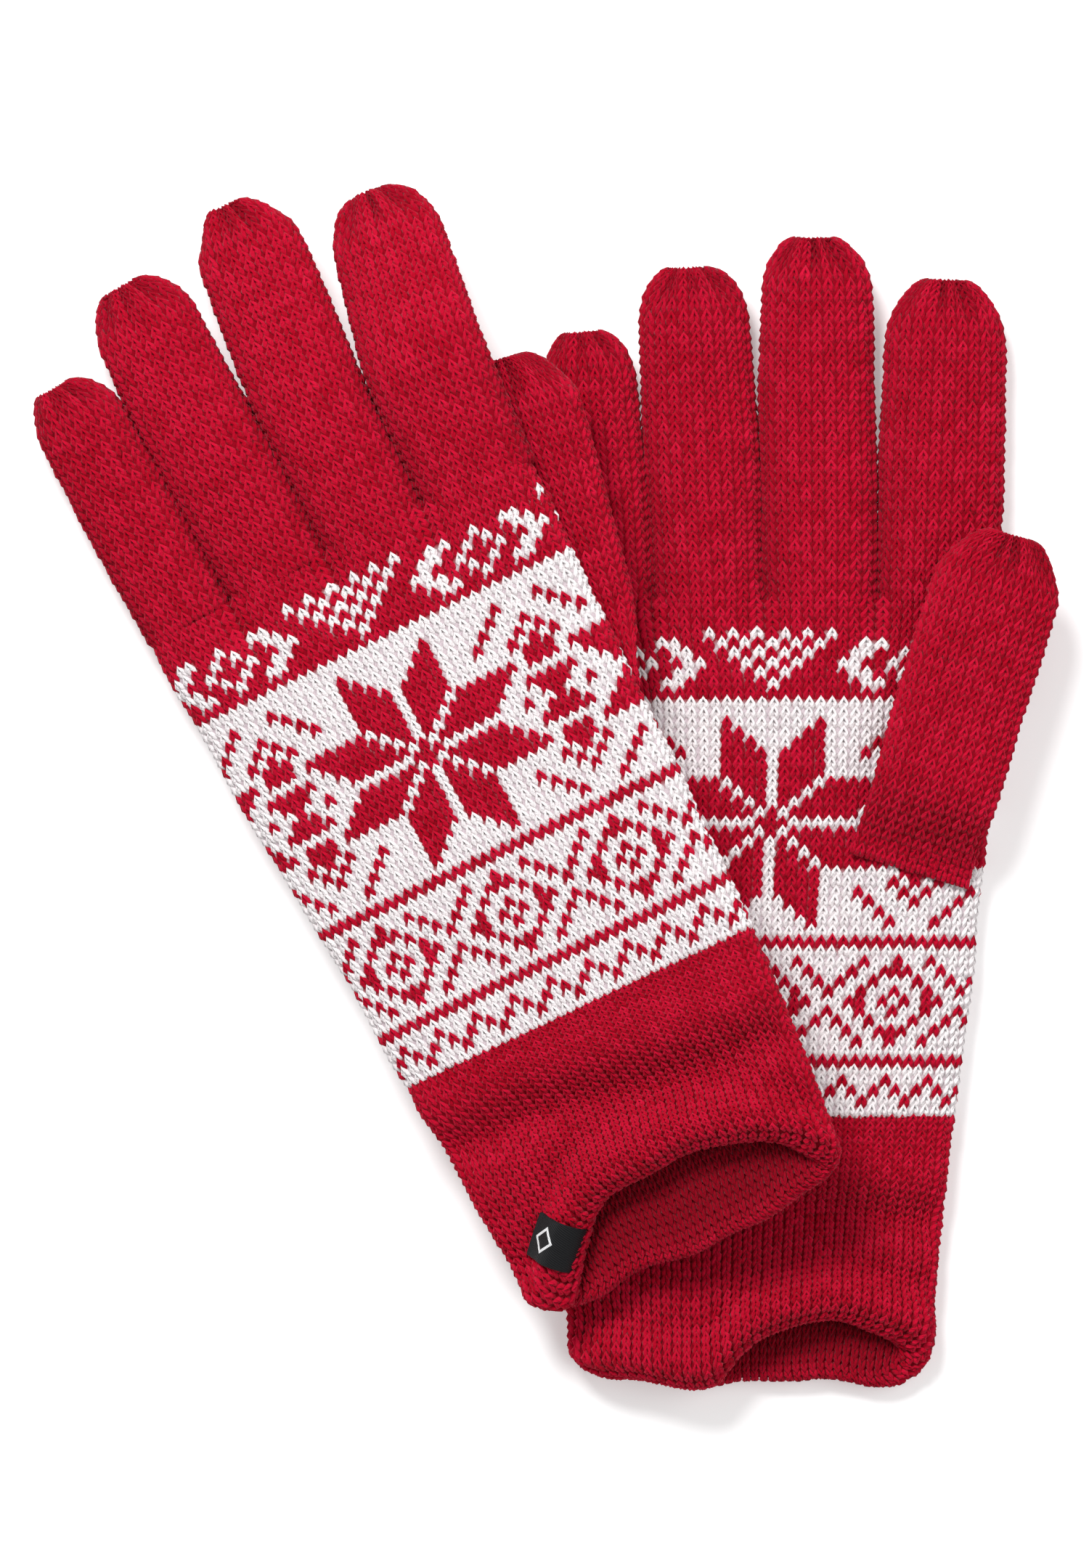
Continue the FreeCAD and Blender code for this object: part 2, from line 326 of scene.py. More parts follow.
def knit(name, lie, corners, white, ribbed, depth, seed, painted_shade, closed=False):
    """A knitted tube: a lining sheet, and a stitch on every one of its faces.

    corners is courses+1 rows of wales points in the glove's frame; white says which stitches are white,
    ribbed how far each stitch stands out as part of a rib, from 0 to 1, depth how far the lining lies
    under the stitches, and painted_shade how much shade is painted on each stitch for the folds around it.
    A closed tube's lining is drawn together in one more row, which the weld turns into a single point.
    """
    dice = np.random.default_rng(seed)
    courses, wales = white.shape
    normal = outward(corners)
    lining = corners - normal * depth[..., None]
    if closed:
        lining = np.concatenate([lining, np.repeat(lining[-1:].mean(axis=1, keepdims=True), wales, axis=1)])
    sheet = roll_sheet(name, lie.world(lining))
    sheet_white = np.zeros((len(lining), wales + 1))
    sheet_white[:courses, :wales] = white
    sheet_white[:courses, wales] = white[:, 0]
    paint(sheet, "white", sheet_white)
    # The whole lining takes the shaded colours: painted shade.
    paint(sheet, "painted_shade_share", np.ones_like(sheet_white))
    paint(sheet, "shade", np.zeros_like(sheet_white))
    paint(sheet, "yarn_along", np.zeros_like(sheet_white))
    paint(sheet, "yarn_round", np.zeros_like(sheet_white))
    bpy.ops.object.mode_set(mode="EDIT")
    bpy.ops.mesh.select_all(action="SELECT")
    bpy.ops.mesh.remove_doubles(threshold=0.00001)
    bpy.ops.object.mode_set(mode="OBJECT")

    low_left, low_right = corners[:-1], np.roll(corners[:-1], -1, axis=1)
    top_left, top_right = corners[1:], np.roll(corners[1:], -1, axis=1)
    edge_normal = normal[:-1] + normal[1:]
    face_normal = edge_normal + np.roll(edge_normal, -1, axis=1)
    face_normal /= np.maximum(np.linalg.norm(face_normal, axis=2, keepdims=True), 1e-9)
    width = np.linalg.norm(low_right + top_right - low_left - top_left, axis=2) / 2
    plump = width * 0.35 + np.minimum(width, WIDEST_STITCH) * 0.3 + 0.9
    jitter = dice.normal(size=(courses, wales, 3)) * np.array(STITCH_JITTER)
    size = 1 + dice.normal(size=(courses, wales)) * STITCH_SPREAD
    across, along, out = (stitch_points[:, axis] for axis in range(3))
    narrow = 1 - RIB_NARROWING * ribbed
    u = 0.5 + across * (size * narrow)[..., None] + jitter[..., :1]
    v = 0.5 + (along - 0.25) + jitter[..., 1:2]
    height = (out + jitter[..., 2:]) * plump[..., None] + RIB_HEIGHT * ribbed[..., None]
    u, v, height = u[..., None], v[..., None], height[..., None]
    points = (
        low_left[:, :, None] * (1 - u) * (1 - v) + low_right[:, :, None] * u * (1 - v)
        + top_left[:, :, None] * (1 - u) * v + top_right[:, :, None] * u * v
        + face_normal[:, :, None] * height)
    cells = courses * wales
    each = len(stitch_points)
    faces = (stitch_faces[None] + np.arange(cells)[:, None, None] * each).reshape(-1, 3)
    loops = mesh_from(name + "_stitches", lie.world(points.reshape(-1, 3)), faces)
    paint(loops, "white", np.repeat(white.ravel(), each))
    # Painted shade on each stitch, for the folds around it.
    paint(loops, "painted_shade_share", np.repeat(np.minimum(painted_shade, 1).ravel(), each))
    paint(loops, "shade", np.repeat(dice.normal(size=cells), each))
    paint(loops, "yarn_along", np.tile(yarn_nearest, cells))
    paint(loops, "yarn_round", np.tile(yarn_round, cells))
    loops.data.shade_smooth()
    select_none()
    loops.select_set(True)
    sheet.select_set(True)
    bpy.context.view_layer.objects.active = sheet
    bpy.ops.object.join()
    sheet.data.shade_smooth()
    print(name, wales, "x", courses, "stitches,", len(sheet.data.polygons), "faces")
    return sheet


# %% [markdown]
# ## The shape of the tubes
#
# A laid glove is a flattened tube. Its section is an oval with flatter sides than an ellipse. The wales
# are spaced evenly round it by length, starting at the little-finger edge and going over the top.


# %% Ovals and finger bases
def oval(half_width, half_thick, count, fullness, first=0.0):
    """Points spaced evenly round a flattened oval, from its left edge over the top."""
    angle = math.pi - np.linspace(0, 2 * math.pi, 1441)
    x = half_width * np.sign(np.cos(angle)) * np.abs(np.cos(angle)) ** (2 / fullness)
    z = half_thick * np.sign(np.sin(angle)) * np.abs(np.sin(angle)) ** (2 / fullness)
    travelled = np.concatenate([[0], np.cumsum(np.hypot(np.diff(x), np.diff(z)))])
    stops = (np.arange(count) + first) / count % 1.0 * travelled[-1]
    return np.interp(stops, travelled, x), np.interp(stops, travelled, z)


SKIN = 0.9
EDGE_SKIN = 0.45
HAND_FULLNESS = 2.7
FINGER_FULLNESS = 2.25


def wales_of(finger):
    return 2 * FRONT_WALES[finger] + LEFT_SIDE_WALES[finger] + RIGHT_SIDE_WALES[finger]


def finger_oval(finger):
    half, thick = FINGER_WIDTH[finger] / 2 - EDGE_SKIN, FINGER_THICK / 2 - SKIN
    return oval(half, thick, wales_of(finger), FINGER_FULLNESS, -LEFT_SIDE_WALES[finger] / 2)


def finger_x(lie, finger):
    x = lie.middle_x[KNUCKLE_Y] - knuckle_width / 2
    for other, width in FINGER_WIDTH.items():
        if other == finger:
            return x + width / 2
        x += width + FINGER_GAP


def knuckle_ring(lie):
    """Where the hand's wales end: each runs on into a wale of a finger."""
    front, back = [], []
    for finger in FINGER_WIDTH:
        x, z = finger_oval(finger)
        x = x + finger_x(lie, finger)
        count, edge, side = FRONT_WALES[finger], LEFT_SIDE_WALES[finger], RIGHT_SIDE_WALES[finger]
        front.append([(x[(edge + i) % len(x)], z[(edge + i) % len(x)]) for i in range(count + 1)])
        first_back = edge + count + side
        back.append([(x[(first_back + i) % len(x)], z[(first_back + i) % len(x)]) for i in range(count + 1)])
    ring = []
    for rows in (front, back[::-1]):
        joined = list(rows[0])
        for row in rows[1:]:
            joined[-1] = tuple((np.array(joined[-1]) + np.array(row[0])) / 2)
            joined += row[1:]
        ring += joined[:-1]
    return np.array(ring)


print("little finger", wales_of("little"), "wales; knuckle ring", knuckle_ring(left).shape)


# %% [markdown]
# ## The pattern
#
# The hand is knitted with two balls of yarn, and a chart says which one makes each stitch. Such a chart is
# all symmetry: a zigzag, a band of diamonds, a band of eight-pointed stars and a row of small peaks. So
# it is written as rules on the distance from a motif's middle, not as a table.


# %% The knitting chart
def fold(column, period):
    """Distance from the nearest middle of a motif that repeats."""
    return abs((column + period // 2) % period - period // 2)


def zigzag_row(column, row):
    if row in (0, 4):
        return True
    peak = fold(column, 4)
    return not ((row == 1 and peak == 2) or (row == 2 and peak == 1) or (row == 3 and peak == 0))


def diamond_row(column, row):
    across, up = fold(column, 12), abs(row - 5)
    ring = across + up
    red = up <= 4 and (ring in (1, 4, 7) or (ring == 3 and 0 in (across, up)))
    return not red


def star_row(column, row):
    across, up = fold(column, 26), abs(row - 11)
    if across + up <= 1:
        return False
    if 1 <= across <= 4 and across + 1 <= up <= across + 6 and up <= 10:
        return False
    if 1 <= up <= 4 and up + 1 <= across <= up + 6 and across <= 10:
        return False
    side = abs(across - 13)
    if side in (2, 3, 4, 5) and up == 12 - side:
        return False
    if side <= 2 and up == 8 - side:
        return False
    if side <= {6: 0, 5: 1, 4: 1, 2: 2, 1: 1, 0: 0}.get(up, -1) or (side, up) == (3, 0):
        return False
    return True


def peak_row(column, row):
    across = fold(column, 24)
    if across <= row and (across + row) % 2 == 0:
        return True
    side, up = abs(across - 12), abs(row - 2)
    return row <= 4 and (side + up == 2 or (5 <= side + up <= 6 and side >= 3))


BANDS = [(zigzag_row, 5), (None, 1), (diamond_row, 11), (None, 1), (star_row, 24), (None, 1), (peak_row, 6)]
STAR_COLUMN = 18


def chart():
    """Which stitches of the hand are white: a row for each course from the wrist up."""
    white = np.zeros((hand_courses, hand_wales))
    course = 0
    for rule, rows in BANDS:
        for row in range(rows):
            for wale in range(hand_wales):
                column = wale % hand_front - STAR_COLUMN
                if rule is not None and rule(column, row):
                    white[course, wale] = 1
            course += 1
    return white


hand_chart = chart()
print("white stitches in the hand:", int(hand_chart.sum()), "of", hand_chart.size)

# %% [markdown]
# ## The hands
#
# The hand starts as the plain oval of the wrist. Over its last courses the oval turns into the outline of
# four fingers side by side, with a valley over each crotch, so the wales flow into the fingers. A little
# seeded unevenness keeps it from looking like a moulding.


# %% Knit the hands
def smooth(value):
    value = np.clip(value, 0, 1)
    return value * value * (3 - 2 * value)


KNUCKLE_REACH = 24.0


def hand_corners(lie):
    rows = []
    target = knuckle_ring(lie)
    for course in range(hand_courses + 1):
        y = WRIST_Y + course * (KNUCKLE_Y - WRIST_Y) / hand_courses
        half = through(HAND_WIDTH, y) / 2 - SKIN
        x, z = oval(half, HAND_THICK / 2 - SKIN, hand_wales, HAND_FULLNESS)
        x = x + lie.middle(y)
        share = smooth((y - KNUCKLE_Y + KNUCKLE_REACH) / KNUCKLE_REACH)
        x = x * (1 - share) + target[:, 0] * share
        z = z * (1 - share) + (target[:, 1] + (FINGER_THICK - HAND_THICK) / 2) * share
        rows.append(np.stack([x, np.full_like(x, y), z], axis=1))
    return np.array(rows)


def roughen(corners, seed, amount=0.35):
    """Push a tube in and out a little, in slow waves."""
    height = wave_field(corners, seed, 60, 22) * amount
    inward_only = np.minimum(height, 0.25)
    return corners + outward(corners) * inward_only[..., None]


LINING_DEPTH = -0.05


def flat_depth(corners):
    return np.full(corners.shape[:2], LINING_DEPTH)


pieces = {}
for number, lie in enumerate((right, left)):
    corners = roughen(hand_corners(lie), 10 + number)
    name = lie.side + "_patterned_hand"
    pieces[name] = knit(
        name, lie, corners, hand_chart, np.zeros(hand_chart.shape), flat_depth(corners), 20 + number,
        np.zeros(hand_chart.shape))

# %% [markdown]
# ## Fingers
#
# A finger is a plain tube that closes in a small gathered knot of yarn at its tip. The courses are spaced
# along its outline, so that they keep their height over the round end. The yarn that draws the last course
# together pulls creases into it, and the knot sits a little back on the upper side; the creases and the knot
# are also painted darker, as shade. Fingers swell against each other at their base, and shade is painted on
# their sides there. The left glove's fingers droop to the table from their bend, because nothing holds them
# up.


# %% Knit the fingers
BEND_REACH = 9.0
TIP_CLOSING = 0.95
ROOT_LAP = 0.7
GATHERS = 6
CREASE_DEPTH = 0.38
KNOT_UP = 5.0
KNOT_BACK = 3.0
KNOT_SINK = 2.6
KNOT_WIDE = 0.68
KNOT_EDGE = 0.24
# How much shade is painted over a fingertip's knot.
KNOT_PAINTED_SHADE = 0.8
KNOT_ASIDE = 1.6
TIP_EXTRA = 2.8
BASE_SWELL = 0.75
SWELL_REACH = 14.0
# How much shade is painted on the sides of a finger's base, and how far along it fades.
VALLEY_PAINTED_SHADE = 0.9
VALLEY_REACH = 40.0
BELLY = 0.07


def bent_path(distances, bend, droop):
    """Points along a straight tube that droops smoothly at its bend: along, up and the angle there."""
    fine = np.linspace(-6, 120, 2521)
    angle = -math.radians(droop) * smooth((fine - bend + BEND_REACH) / (2 * BEND_REACH))
    step = fine[1] - fine[0]
    along = np.cumsum(np.cos(angle)) * step
    up = np.cumsum(np.sin(angle)) * step
    zero = np.searchsorted(fine, 0)
    along -= along[zero]
    up -= up[zero]
    return tuple(np.interp(distances, fine, values) for values in (along, up, angle))


def closing_courses(length, radius):
    """Distance along, and the share of the full section, for each course of a tube with a round end."""
    straight = length - radius
    cap = radius + TIP_EXTRA
    total = straight + radius * math.pi / 2 * TIP_CLOSING
    count = round(total / COURSE)
    travelled = np.linspace(-ROOT_LAP, total, count + 1)
    turn = np.maximum(travelled - straight, 0) / radius
    distance = np.where(turn > 0, straight + cap * np.sin(turn), travelled)
    return distance, np.cos(turn), turn / (math.pi / 2)


def gathered(closing, round_angle, phase):
    """As a tip closes: how far each wale is drawn in, the ring's moves back and up, and the painted shade.

    closing is 0 where the round end starts and 1 at the knot. The creases are deepest between the two, and
    on the upper side. The knot is sunk into the tip. Shade is painted into the creases and over the knot.
    """
    crease = (0.5 - 0.5 * np.cos(GATHERS * round_angle + phase)) ** 1.5
    midway = math.sin(math.pi * min(max(closing * 1.15 - 0.15, 0), 1))
    crease = crease * midway * (0.6 + 0.4 * np.sin(round_angle))
    sink = KNOT_SINK * smooth((closing - KNOT_WIDE) / KNOT_EDGE)
    back = KNOT_BACK * closing ** 3 + 0.6 * sink
    up = KNOT_UP * closing ** 2 - 0.8 * sink
    # Painted shade: darker in the creases and over the knot, where the gathers shade the yarn.
    shade = crease + KNOT_PAINTED_SHADE * smooth((closing - 0.7) / 0.25)
    return 1 - CREASE_DEPTH * crease, back, up, shade


def finger_corners(lie, finger, seed):
    dice = np.random.default_rng(seed)
    half = FINGER_WIDTH[finger] / 2 - EDGE_SKIN
    x, z = finger_oval(finger)
    distance, share, closing = closing_courses(FINGER_LENGTH[finger] - SKIN, half)
    along, up, angle = bent_path(distance, FINGER_BEND[finger], lie.droop[finger])
    lean = math.radians(lie.lean[finger])
    gather_phase = dice.uniform(0, 2 * math.pi)
    round_angle = np.arctan2(z, x)
    aside = -KNOT_ASIDE * dice.uniform(0.3, 1.4)
    rows = []
    painted_shade = []
    for row in range(len(distance)):
        draw, back, rise, shade = gathered(closing[row], round_angle, gather_phase)
        # Painted shade on the sides of a finger near its base, where the next finger shades it.
        valley = VALLEY_PAINTED_SHADE * np.abs(x / half) ** 5 * math.exp(-distance[row] / VALLEY_REACH)
        painted_shade.append(shade + valley)
        belly = 1 + BELLY * math.sin(math.pi * min(distance[row] / (FINGER_LENGTH[finger] - half), 1))
        swell = BASE_SWELL * math.exp(-distance[row] / SWELL_REACH) * np.sign(x) * np.abs(x / half) ** 4
        ring_x = x * share[row] * draw * belly + swell + aside * closing[row] ** 2
        ring_z = z * share[row] * draw + rise
        ring_along = along[row] - back * math.cos(angle[row]) - ring_z * math.sin(angle[row])
        ring_up = up[row] - back * math.sin(angle[row]) + ring_z * math.cos(angle[row])
        px = finger_x(lie, finger) + ring_x * math.cos(lean) - ring_along * math.sin(lean)
        py = KNUCKLE_Y + ring_x * math.sin(lean) + ring_along * math.cos(lean)
        pz = ring_up + (FINGER_THICK - HAND_THICK) / 2
        rows.append(np.stack([px, py, pz], axis=1))
    return np.array(rows), np.array(painted_shade[1:])


for number, lie in enumerate((right, left)):
    for place, finger in enumerate(FINGER_WIDTH):
        seed = 40 + 10 * number + place
        corners, painted_shade = finger_corners(lie, finger, seed)
        corners = roughen(corners, seed, 0.3)
        plain = np.zeros(painted_shade.shape)
        name = lie.side + "_" + finger + "_finger"
        pieces[name] = knit(name, lie, corners, plain, plain, flat_depth(corners), seed, painted_shade, True)

# %% [markdown]
# ## Thumbs
#
# The thumb's tube lies folded over the palm. At its root the upper layer runs down into the palm, so the
# section starts flat on the palm and fills out towards the tip.


# %% Knit the thumbs
ROOT_REACH = 20.0
ROOT_SUNK = -0.5
ROOT_THICK = 0.25


def palm_height(lie, x, y):
    """Height of the hand's outer side over its middle, at a place on it."""
    half = through(HAND_WIDTH, np.clip(y, WRIST_Y, KNUCKLE_Y)) / 2 - SKIN
    share = np.clip(np.abs(x - lie.middle(y)) / half, 0, 0.995)
    return (HAND_THICK / 2 - SKIN) * (1 - share ** HAND_FULLNESS) ** (1 / HAND_FULLNESS)


def thumb_corners(lie, seed):
    dice = np.random.default_rng(seed)
    half = THUMB_WIDTH / 2 - SKIN
    thick = THUMB_THICK / 2 - SKIN
    x, z = oval(half, thick, THUMB_WALES, FINGER_FULLNESS)
    distance, share, closing = closing_courses(THUMB_LENGTH - SKIN, half)
    gather_phase = dice.uniform(0, 2 * math.pi)
    round_angle = np.arctan2(z, x)
    rows = []
    painted_shade = []
    for row in range(len(distance)):
        fill = ROOT_THICK + (1 - ROOT_THICK) * smooth(distance[row] / ROOT_REACH)
        draw, back, rise, shade = gathered(closing[row], round_angle, gather_phase)
        painted_shade.append(shade)
        across = x * share[row] * draw
        out = (z * lie.palm * share[row] * draw + rise * lie.palm) * fill
        px, py, _ = lie.thumb_point(distance[row] - back, across, 0)
        level = (HAND_THICK + THUMB_THICK) / 2 + THUMB_GAP
        rooted = palm_height(lie, px, py) - ROOT_SUNK + (thick + out) * fill
        settled = smooth(distance[row] / ROOT_REACH)
        pz = lie.palm * (rooted * (1 - settled) + (level + out) * settled)
        rows.append(np.stack([px, py, pz], axis=1))
    return np.array(rows), np.array(painted_shade[1:])


for number, lie in enumerate((right, left)):
    seed = 60 + number
    corners, painted_shade = thumb_corners(lie, seed)
    corners = roughen(corners, seed, 0.3)
    plain = np.zeros(painted_shade.shape)
    name = lie.side + "_thumb_tube"
    pieces[name] = knit(name, lie, corners, plain, plain, flat_depth(corners), seed, painted_shade, True)

# %% [markdown]
# ## Cuffs
#
# The cuff is plain near the hand and turns into ribs towards its edge. The edge rolls inwards and the same
# fabric runs back up inside, where the open mouth shows it in shade, and those inner courses are also
# painted darker, as shade. Its upper layer arches up over the mouth, and a soft fold lies across it.

# %% Knit the cuffs
OUTER_COURSES = 27
ROLL_COURSES = 6
INNER_COURSES = 11
ROLL_RADIUS = 2.9
HEM_DROP = 0.6
HEM_WAVE = 0.8
CORNER_RISE = 4.0
RIB_DEPTH = 0.15
HEM_BULGE = 1.5
FOLD_Y = -86.0
FOLD_DEPTH = 3.3
FOLD_CREST = 1.2
MOUTH_LIFT = 5.0


def hem_line(lie, x, upper=1.0):
    """Where the edge of the cuff is across the glove: its upper layer arches up over the mouth."""
    height, arch_x, arch_half = lie.arch
    arch = height * np.clip(1 - np.abs((x - lie.middle(HEM_Y) - arch_x) / arch_half) ** 2.5, 0, 1)
    waves = HEM_WAVE * np.sin(x / 7.5 + 2 * lie.palm) + 0.6 * HEM_WAVE * np.sin(x / 3.7)
    return HEM_Y + HEM_DROP + arch * upper + waves


def cuff_corners(lie):
    half = CUFF_THICK / 2 - SKIN
    unit_x, unit_z = oval(HAND_WIDTH[WRIST_Y] / 2 - SKIN, HAND_THICK / 2 - SKIN, hand_wales, HAND_FULLNESS)
    unit_x = unit_x / (HAND_WIDTH[WRIST_Y] / 2 - SKIN)
    unit_z = unit_z / (HAND_THICK / 2 - SKIN)
    hem_x = lie.middle(HEM_Y) + unit_x * HAND_WIDTH[HEM_Y] / 2
    hem = hem_line(lie, hem_x, np.clip(unit_z * 1.6, 0, 1)) + CORNER_RISE * np.abs(unit_x) ** 14
    rows = []
    for course in range(OUTER_COURSES + ROLL_COURSES + INNER_COURSES + 1):
        if course <= OUTER_COURSES:
            y = WRIST_Y + (hem + ROLL_RADIUS - WRIST_Y) * course / OUTER_COURSES
            inset = 0
        elif course <= OUTER_COURSES + ROLL_COURSES:
            turn = math.pi * (course - OUTER_COURSES) / ROLL_COURSES
            y = hem + ROLL_RADIUS * (1 - math.sin(turn))
            inset = ROLL_RADIUS * (1 - math.cos(turn))
        else:
            y = hem + ROLL_RADIUS + (course - OUTER_COURSES - ROLL_COURSES) * COURSE
            inset = 2 * ROLL_RADIUS - min(course - OUTER_COURSES - ROLL_COURSES, 5) * 0.25
        width = through(HAND_WIDTH, y) / 2 - SKIN
        share = (y - WRIST_Y) / (HEM_Y - WRIST_Y)
        thick = (HAND_THICK * (1 - share) + CUFF_THICK * share) / 2 - SKIN
        middle_z = (thick + SKIN) - HAND_THICK / 2
        x = lie.middle(y) + unit_x * (width - inset)
        lift = MOUTH_LIFT * smooth((WRIST_Y - 20 - y) / (WRIST_Y - 20 - HEM_Y)) * (1 - np.abs(unit_x) ** 3)
        z = middle_z + unit_z * np.maximum(thick - inset, 0.4) + lift * np.clip(unit_z * 3, 0, 1)
        rows.append(np.stack([x, y + 0 * x, z], axis=1))
    return np.array(rows)


def cuff_folds(lie, corners):
    """The soft folds that lie across the cuff's upper layer."""
    x, y, z = corners[..., 0], corners[..., 1], corners[..., 2]
    line = y - FOLD_Y + 0.05 * x + 2.0 * np.sin(x / 17)
    valley = -FOLD_DEPTH * np.exp(-(line / 5.5) ** 2) + FOLD_CREST * np.exp(-((line - 10) / 6.0) ** 2)
    from_hem = y - hem_line(lie, x)
    bulge = HEM_BULGE * (np.exp(-((from_hem - 5) / 4.0) ** 2) - 0.8 * np.exp(-((from_hem - 13) / 4.0) ** 2))
    return (valley + bulge) * np.clip(z / 3.0, 0, 1)


cuff_surface = {}
for number, lie in enumerate((right, left)):
    # The cuff was laid out from the wrist down, and its stitches point up, so its rows are turned round.
    corners = cuff_corners(lie)[::-1]
    outer = np.arange(len(corners))[::-1] <= OUTER_COURSES
    push = cuff_folds(lie, corners) * outer[:, None]
    corners = roughen(corners + outward(corners) * push[..., None], 70 + number, 0.25)
    cuff_surface[lie.side] = corners
    courses = len(corners) - 1
    from_wrist = courses - 1 - np.arange(courses)
    ribbed = smooth((from_wrist - 6) / 14)[:, None] * np.ones((1, hand_wales))
    depth = LINING_DEPTH + np.concatenate([ribbed, ribbed[-1:]]) * RIB_DEPTH
    # Painted shade: the courses inside the mouth are painted darker, for the shade of the upper layer over
    # them.
    painted_shade = smooth((from_wrist - OUTER_COURSES - 2) / 6)[:, None] * np.ones((1, hand_wales))
    name = lie.side + "_ribbed_cuff"
    pieces[name] = knit(name, lie, corners, np.zeros(ribbed.shape), ribbed, depth, 80 + number, painted_shade)

# %% [markdown]
# ## The label
#
# A strip of woven satin is folded over the hem of the left cuff, near the little finger. It follows the
# cuff's own surface: over the upper layer, round the rolled edge and a little way inside. It starts as a
# grid, is laid on the cuff's rows and is given its thickness by a modifier.

# %% Fold the label over the hem
LABEL_WIDTH = 10.5
LABEL_MIDDLE = -26.5
LABEL_OUTER = 6.0
LABEL_INNER = 4.0
LABEL_RISE = 1.8
LABEL_THICK = 0.5
LABEL_SOFTNESS = 0.6


def label_corners(lie):
    """Rows of points from the label's outer end, over the hem, to its end in the mouth."""
    top = cuff_surface[lie.side][-OUTER_COURSES:, :hand_front].reshape(-1, 3)
    slope = (hem_line(lie, LABEL_MIDDLE + 3) - hem_line(lie, LABEL_MIDDLE - 3)) / 6
    along_hem = np.array([1, slope]) / math.hypot(1, slope)
    from_hem = np.array([-along_hem[1], along_hem[0]])
    fold = np.array([LABEL_MIDDLE, hem_line(lie, LABEL_MIDDLE)]) + from_hem * ROLL_RADIUS
    radius = ROLL_RADIUS + LABEL_RISE
    rows = []
    stops = [("out", place) for place in np.linspace(LABEL_OUTER, 0, 9)]
    stops += [("turn", place) for place in np.linspace(0, math.pi, 9)[1:]]
    stops += [("in", place) for place in np.linspace(0, LABEL_INNER, 5)[1:]]
    for stretch, place in stops:
        row = []
        for across in np.linspace(-LABEL_WIDTH / 2, LABEL_WIDTH / 2, 9):
            root = fold + along_hem * across
            reach = {"out": place, "turn": -radius * math.sin(place), "in": place}[stretch]
            spot = root + from_hem * reach
            over = root + from_hem * max(reach, 0) if stretch == "out" else root
            apart = ((top[:, :2] - over) ** 2).sum(axis=1)
            weight = 1 / (apart + LABEL_SOFTNESS) ** 3
            height = (top[:, 2] * weight).sum() / weight.sum() + LABEL_RISE
            height -= {"out": 0, "turn": radius * (1 - math.cos(place)), "in": 2 * radius}[stretch]
            row.append((spot[0], spot[1], height))
        rows.append(row)
    return np.array(rows)


label_grid = label_corners(left)
label_rows, label_columns = label_grid.shape[:2]
select_none()
bpy.ops.mesh.primitive_grid_add(x_subdivisions=label_columns - 1, y_subdivisions=label_rows - 1, size=2)
label = bpy.context.object
label.name = "left_woven_label"
label.data.vertices.foreach_set("co", left.world(label_grid.reshape(-1, 3)).ravel())
wall = label.modifiers.new("wall", "SOLIDIFY")
wall.thickness = LABEL_THICK * MM
wall.offset = 0
curve = label.modifiers.new("curve", "SUBSURF")
curve.levels = 2
curve.render_levels = 2
bpy.ops.object.modifier_apply(modifier="wall")
bpy.ops.object.modifier_apply(modifier="curve")
bpy.ops.object.shade_smooth()
pieces[label.name] = label
print("label", len(label.data.polygons), "faces")

# %% [markdown]
# ## Finishes
#
# Shader maths is easier to read as sums than as a web of nodes, so a small class wraps a socket and adds
# a Math node for each operator. One method makes every other node.


# %% Helpers for materials
class Socket:
    """A number inside a material, which can be used in Python expressions."""

    def __init__(self, finish, socket):
        self.finish = finish
        self.socket = socket

    def maths(self, operation, other, swap=False):
        first, second = (other, self) if swap else (self, other)
        return self.finish.node("ShaderNodeMath", {"operation": operation}, {0: first, 1: second})

    def __add__(self, other):
        return self.maths("ADD", other)

    def __radd__(self, other):
        return self.maths("ADD", other, True)

    def __sub__(self, other):
        return self.maths("SUBTRACT", other)

    def __rsub__(self, other):
        return self.maths("SUBTRACT", other, True)

    def __mul__(self, other):
        return self.maths("MULTIPLY", other)

    def __rmul__(self, other):
        return self.maths("MULTIPLY", other, True)


class Finish:
    """A material that is built up node by node."""

    def __init__(self, name):
        self.material = bpy.data.materials.new(name)
        self.material.use_nodes = True
        self.tree = self.material.node_tree
        self.shader = self.tree.nodes["Principled BSDF"]

    def node(self, kind, settings=None, sockets=None, output=0):
        made = self.tree.nodes.new(kind)
        for name, value in (settings or {}).items():
            setattr(made, name, value)
        for name, value in (sockets or {}).items():
            self.feed(made.inputs[name], value)
        return Socket(self, made.outputs[output])

    def feed(self, target, value):
        if isinstance(value, Socket):
            self.tree.links.new(value.socket, target)
        else:
            target.default_value = value

    def mix(self, share, first, second):
        made = self.tree.nodes.new("ShaderNodeMix")
        made.data_type = "RGBA"
        self.feed(made.inputs[0], share)
        self.feed(made.inputs[6], first)
        self.feed(made.inputs[7], second)
        return Socket(self, made.outputs[2])

    def attribute(self, name):
        return self.node("ShaderNodeAttribute", {"attribute_name": name}, output="Fac")

    def size_of(self, value):
        return self.node("ShaderNodeMath", {"operation": "ABSOLUTE"}, {0: value})

    def noise(self, place, scale, detail=2.0):
        sockets = {"Vector": place, "Scale": scale, "Detail": detail}
        return self.node("ShaderNodeTexNoise", {}, sockets, "Fac")

    def place(self):
        return self.node("ShaderNodeTexCoord", output="Object")

    def set(self, **values):
        for name, value in values.items():
            self.feed(self.shader.inputs[name.replace("_", " ")], value)

    def bump(self, height, strength, distance):
        sockets = {"Height": height, "Strength": strength, "Distance": distance}
        normal = self.node("ShaderNodeBump", {}, sockets)
        self.feed(self.shader.inputs["Normal"], normal)


